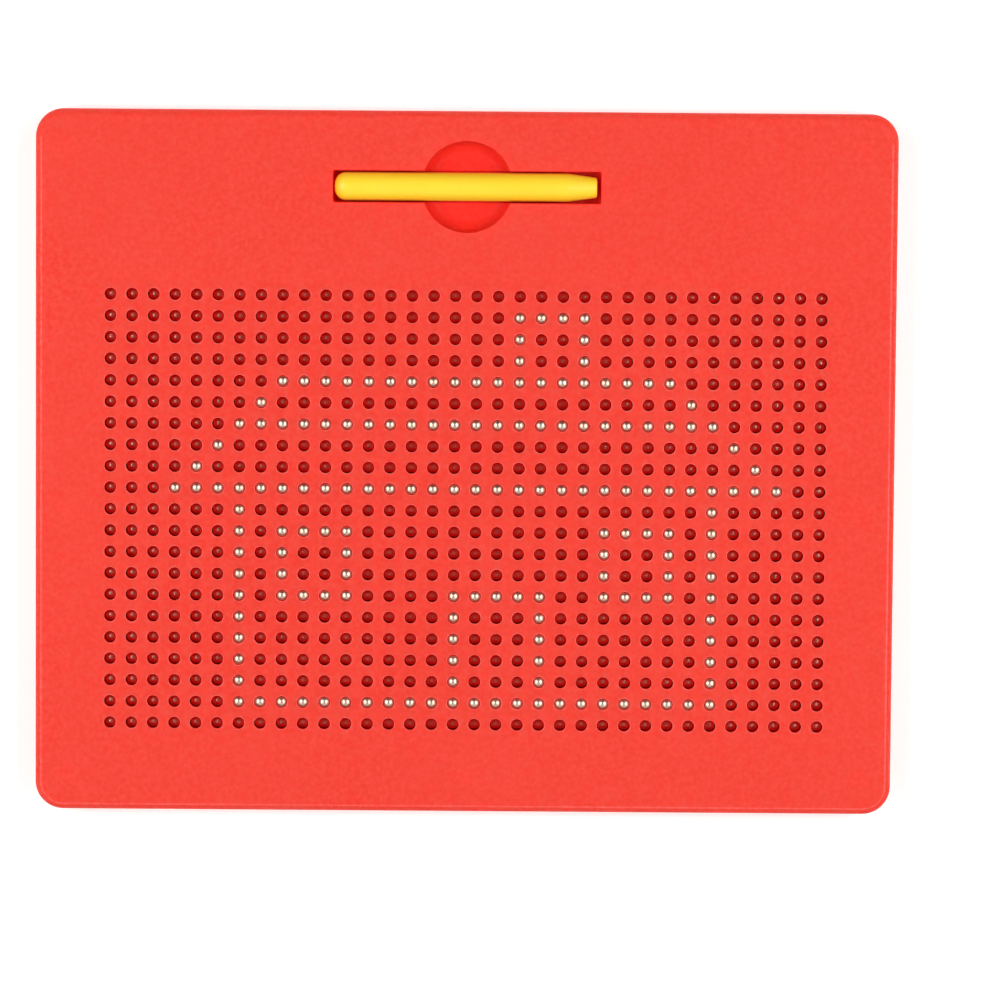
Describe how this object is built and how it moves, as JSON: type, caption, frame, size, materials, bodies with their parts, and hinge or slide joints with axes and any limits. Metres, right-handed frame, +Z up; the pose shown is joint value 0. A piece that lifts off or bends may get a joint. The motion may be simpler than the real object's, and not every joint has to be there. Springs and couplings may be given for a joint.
{
  "type": "magnetic ball drawing board",
  "caption": "Flat plastic tablet with a grid of holes holding steel balls, raised by a magnetic stylus and pressed back down by a fingertip; the stylus lies in a slot.",
  "frame": {"origin": "middle of the casing's underside, on the surface that it lies on", "axes": "+X along the long side, +Y towards the stylus slot, +Z up out of the drawing face"},
  "size_m": [0.306, 0.25, 0.0165],
  "materials": {
    "casing": "fine moulded texture, satin",
    "cell_plate": "plain moulded",
    "magnet_sheet": "matt flexible magnet",
    "ball": "polished",
    "stylus": "smooth satin gloss",
    "magnet": "nickel plated",
    "screw": "zinc plated"
  },
  "bodies": {
    "casing": {"top_cover": "casing", "bottom_cover": "casing", "cell_plate": "cell_plate", "holding_sheet": "magnet_sheet", "base_sheet": "magnet_sheet", "screw_1": "screw", "screw_2": "screw", "screw_3": "screw", "screw_4": "screw", "screw_5": "screw", "screw_6": "screw", "screw_7": "screw", "screw_8": "screw", "screw_9": "screw"},
    "stylus": {"stylus_barrel": "stylus", "stylus_magnet": "magnet"},
    "chimney_balls": {"chimney_ball_1": "ball", "chimney_ball_2": "ball"},
    "ridge_balls": {"ridge_ball_1": "ball", "ridge_ball_2": "ball", "ridge_ball_3": "ball"},
    "roof_slope_balls": {"roof_slope_ball_1": "ball", "roof_slope_ball_2": "ball"},
    "roof_line_balls": {"roof_line_ball_1": "ball", "roof_line_ball_2": "ball"},
    "eaves_balls": {"eaves_ball_1": "ball", "eaves_ball_2": "ball", "eaves_ball_3": "ball"},
    "house_wall_balls": {"house_wall_ball_1": "ball", "house_wall_ball_2": "ball"},
    "ground_line_balls": {"ground_line_ball_1": "ball", "ground_line_ball_2": "ball", "ground_line_ball_3": "ball"},
    "left_window_balls": {"left_window_ball_1": "ball", "left_window_ball_2": "ball"},
    "right_window_balls": {"right_window_ball_1": "ball", "right_window_ball_2": "ball"},
    "door_balls": {"door_ball_1": "ball", "door_ball_2": "ball"},
    "left_sky_balls": {"left_sky_ball_1": "ball", "left_sky_ball_2": "ball"},
    "right_sky_balls": {"right_sky_ball_1": "ball", "right_sky_ball_2": "ball"},
    "roof_area_balls": {"roof_area_ball_1": "ball", "roof_area_ball_2": "ball"},
    "wall_area_balls": {"wall_area_ball_1": "ball", "wall_area_ball_2": "ball"},
    "window_area_balls": {"window_area_ball_1": "ball", "window_area_ball_2": "ball", "window_area_ball_3": "ball"},
    "left_area_balls": {"left_area_ball_1": "ball", "left_area_ball_2": "ball"},
    "right_area_balls": {"right_area_ball_1": "ball", "right_area_ball_2": "ball"},
    "bottom_row_balls": {"bottom_row_ball_1": "ball", "bottom_row_ball_2": "ball"}
  },
  "joints": [
    {"name": "stylus_lift", "type": "slide", "parent": "casing", "child": "stylus", "axis": [0, 0, 1], "range_m": [0, 0.06]},
    {"name": "chimney_press", "type": "slide", "parent": "casing", "child": "chimney_balls", "axis": [0, 0, 1], "range_m": [-0.0045, 0]},
    {"name": "ridge_press", "type": "slide", "parent": "casing", "child": "ridge_balls", "axis": [0, 0, 1], "range_m": [-0.0045, 0]},
    {"name": "roof_slope_press", "type": "slide", "parent": "casing", "child": "roof_slope_balls", "axis": [0, 0, 1], "range_m": [-0.0045, 0]},
    {"name": "roof_line_press", "type": "slide", "parent": "casing", "child": "roof_line_balls", "axis": [0, 0, 1], "range_m": [-0.0045, 0]},
    {"name": "eaves_press", "type": "slide", "parent": "casing", "child": "eaves_balls", "axis": [0, 0, 1], "range_m": [-0.0045, 0]},
    {"name": "house_wall_press", "type": "slide", "parent": "casing", "child": "house_wall_balls", "axis": [0, 0, 1], "range_m": [-0.0045, 0]},
    {"name": "ground_line_press", "type": "slide", "parent": "casing", "child": "ground_line_balls", "axis": [0, 0, 1], "range_m": [-0.0045, 0]},
    {"name": "left_window_press", "type": "slide", "parent": "casing", "child": "left_window_balls", "axis": [0, 0, 1], "range_m": [-0.0045, 0]},
    {"name": "right_window_press", "type": "slide", "parent": "casing", "child": "right_window_balls", "axis": [0, 0, 1], "range_m": [-0.0045, 0]},
    {"name": "door_press", "type": "slide", "parent": "casing", "child": "door_balls", "axis": [0, 0, 1], "range_m": [-0.0045, 0]},
    {"name": "left_sky_raise", "type": "slide", "parent": "casing", "child": "left_sky_balls", "axis": [0, 0, 1], "range_m": [0, 0.0045]},
    {"name": "right_sky_raise", "type": "slide", "parent": "casing", "child": "right_sky_balls", "axis": [0, 0, 1], "range_m": [0, 0.0045]},
    {"name": "roof_area_raise", "type": "slide", "parent": "casing", "child": "roof_area_balls", "axis": [0, 0, 1], "range_m": [0, 0.0045]},
    {"name": "wall_area_raise", "type": "slide", "parent": "casing", "child": "wall_area_balls", "axis": [0, 0, 1], "range_m": [0, 0.0045]},
    {"name": "window_area_raise", "type": "slide", "parent": "casing", "child": "window_area_balls", "axis": [0, 0, 1], "range_m": [0, 0.0045]},
    {"name": "left_area_raise", "type": "slide", "parent": "casing", "child": "left_area_balls", "axis": [0, 0, 1], "range_m": [0, 0.0045]},
    {"name": "right_area_raise", "type": "slide", "parent": "casing", "child": "right_area_balls", "axis": [0, 0, 1], "range_m": [0, 0.0045]},
    {"name": "bottom_row_raise", "type": "slide", "parent": "casing", "child": "bottom_row_balls", "axis": [0, 0, 1], "range_m": [0, 0.0045]}
  ]
}
